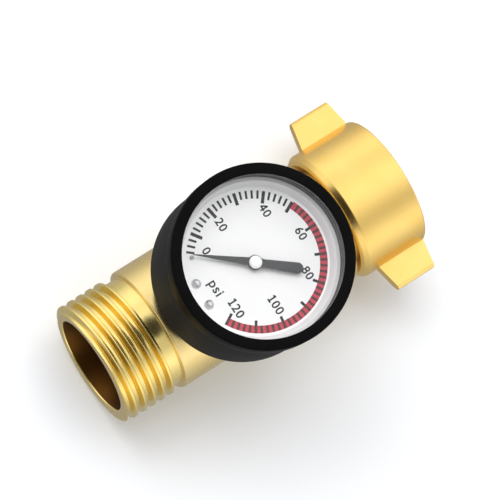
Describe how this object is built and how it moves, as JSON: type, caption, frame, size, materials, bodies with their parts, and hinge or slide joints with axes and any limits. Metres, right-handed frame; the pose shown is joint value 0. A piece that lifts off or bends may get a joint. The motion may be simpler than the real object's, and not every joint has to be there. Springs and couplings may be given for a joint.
{
  "type": "water pressure regulator",
  "caption": "Inline brass water pressure regulator with male hose outlet, winged swivel hose inlet, sprung piston inside and a round dial gauge on top.",
  "frame": {"origin": "middle of the inlet washer's outer face, on the water axis, where a hose end seats", "axes": "+X along the water axis towards the inlet, +Z out of the gauge face, right-handed"},
  "size_m": [0.0735, 0.041, 0.0523],
  "materials": {
    "brass": "satin, fine blasted, golden",
    "seal_rubber": "matt black nitrile",
    "washer_rubber": "matt black hose washer",
    "spring_steel": "bright drawn wire",
    "screen_steel": "bright stainless mesh",
    "case_black": "satin black",
    "bezel_black": "satin black",
    "clear_lens": "clear, polished",
    "dial_white": "matt white with printed scale",
    "pale_metal": "bright domed heads",
    "pointer_grey": "matt dark grey",
    "cap_white": "satin white",
    "movement_brass": "stamped, semi-bright"
  },
  "bodies": {
    "regulator": {"body": "brass", "inlet_tailpiece": "brass", "stem_oring": "seal_rubber", "port_gasket": "seal_rubber", "seat_carrier": "brass", "seat_disc": "seal_rubber", "piston_spring": "spring_steel", "hose_washer": "washer_rubber", "inlet_screen": "screen_steel", "gauge_socket": "brass", "gauge_case": "case_black", "bezel": "bezel_black", "lens": "clear_lens", "lens_gasket": "seal_rubber", "dial": "dial_white", "dial_rivet_a": "pale_metal", "dial_rivet_b": "pale_metal", "stop_pin": "pale_metal", "movement_plate_low": "movement_brass", "movement_plate_high": "movement_brass", "movement_pillar_0": "movement_brass", "movement_pillar_1": "movement_brass", "hairspring": "spring_steel", "bourdon_tube": "movement_brass", "tube_tip_cap": "movement_brass", "tip_link": "spring_steel"},
    "nut": {"swivel_nut": "brass"},
    "piston_unit": {"piston": "brass", "piston_oring": "seal_rubber"},
    "sector": {"sector_gear": "movement_brass"},
    "pointer_unit": {"pointer": "pointer_grey", "pointer_cap": "cap_white", "pointer_arbor": "movement_brass"}
  },
  "joints": [
    {"name": "nut_spin", "type": "hinge", "parent": "regulator", "child": "nut", "pos_m": [-0.001, 0, 0], "axis": [1, 0, 0], "continuous": true},
    {"name": "piston_slide", "type": "slide", "parent": "regulator", "child": "piston_unit", "axis": [1, 0, 0], "range_m": [0, 0.0011], "stiffness_N_per_m": 2000, "springref_m": -0.001},
    {"name": "sector_turn", "type": "hinge", "parent": "regulator", "child": "sector", "pos_m": [-0.0467, 0.00074, 0.0263], "axis": [0, 0, 1], "range_deg": [0, 29.1], "stiffness_Nm_per_rad": 0.0005, "springref_deg": -5.73},
    {"name": "pointer_turn", "type": "hinge", "parent": "regulator", "child": "pointer_unit", "pos_m": [-0.03463, -0.00011, 0.028], "axis": [0, 0, 1], "range_deg": [-291, 0]}
  ],
  "couplings": [
    {"joint": "pointer_turn", "follows": "sector_turn", "ratio": -10}
  ]
}
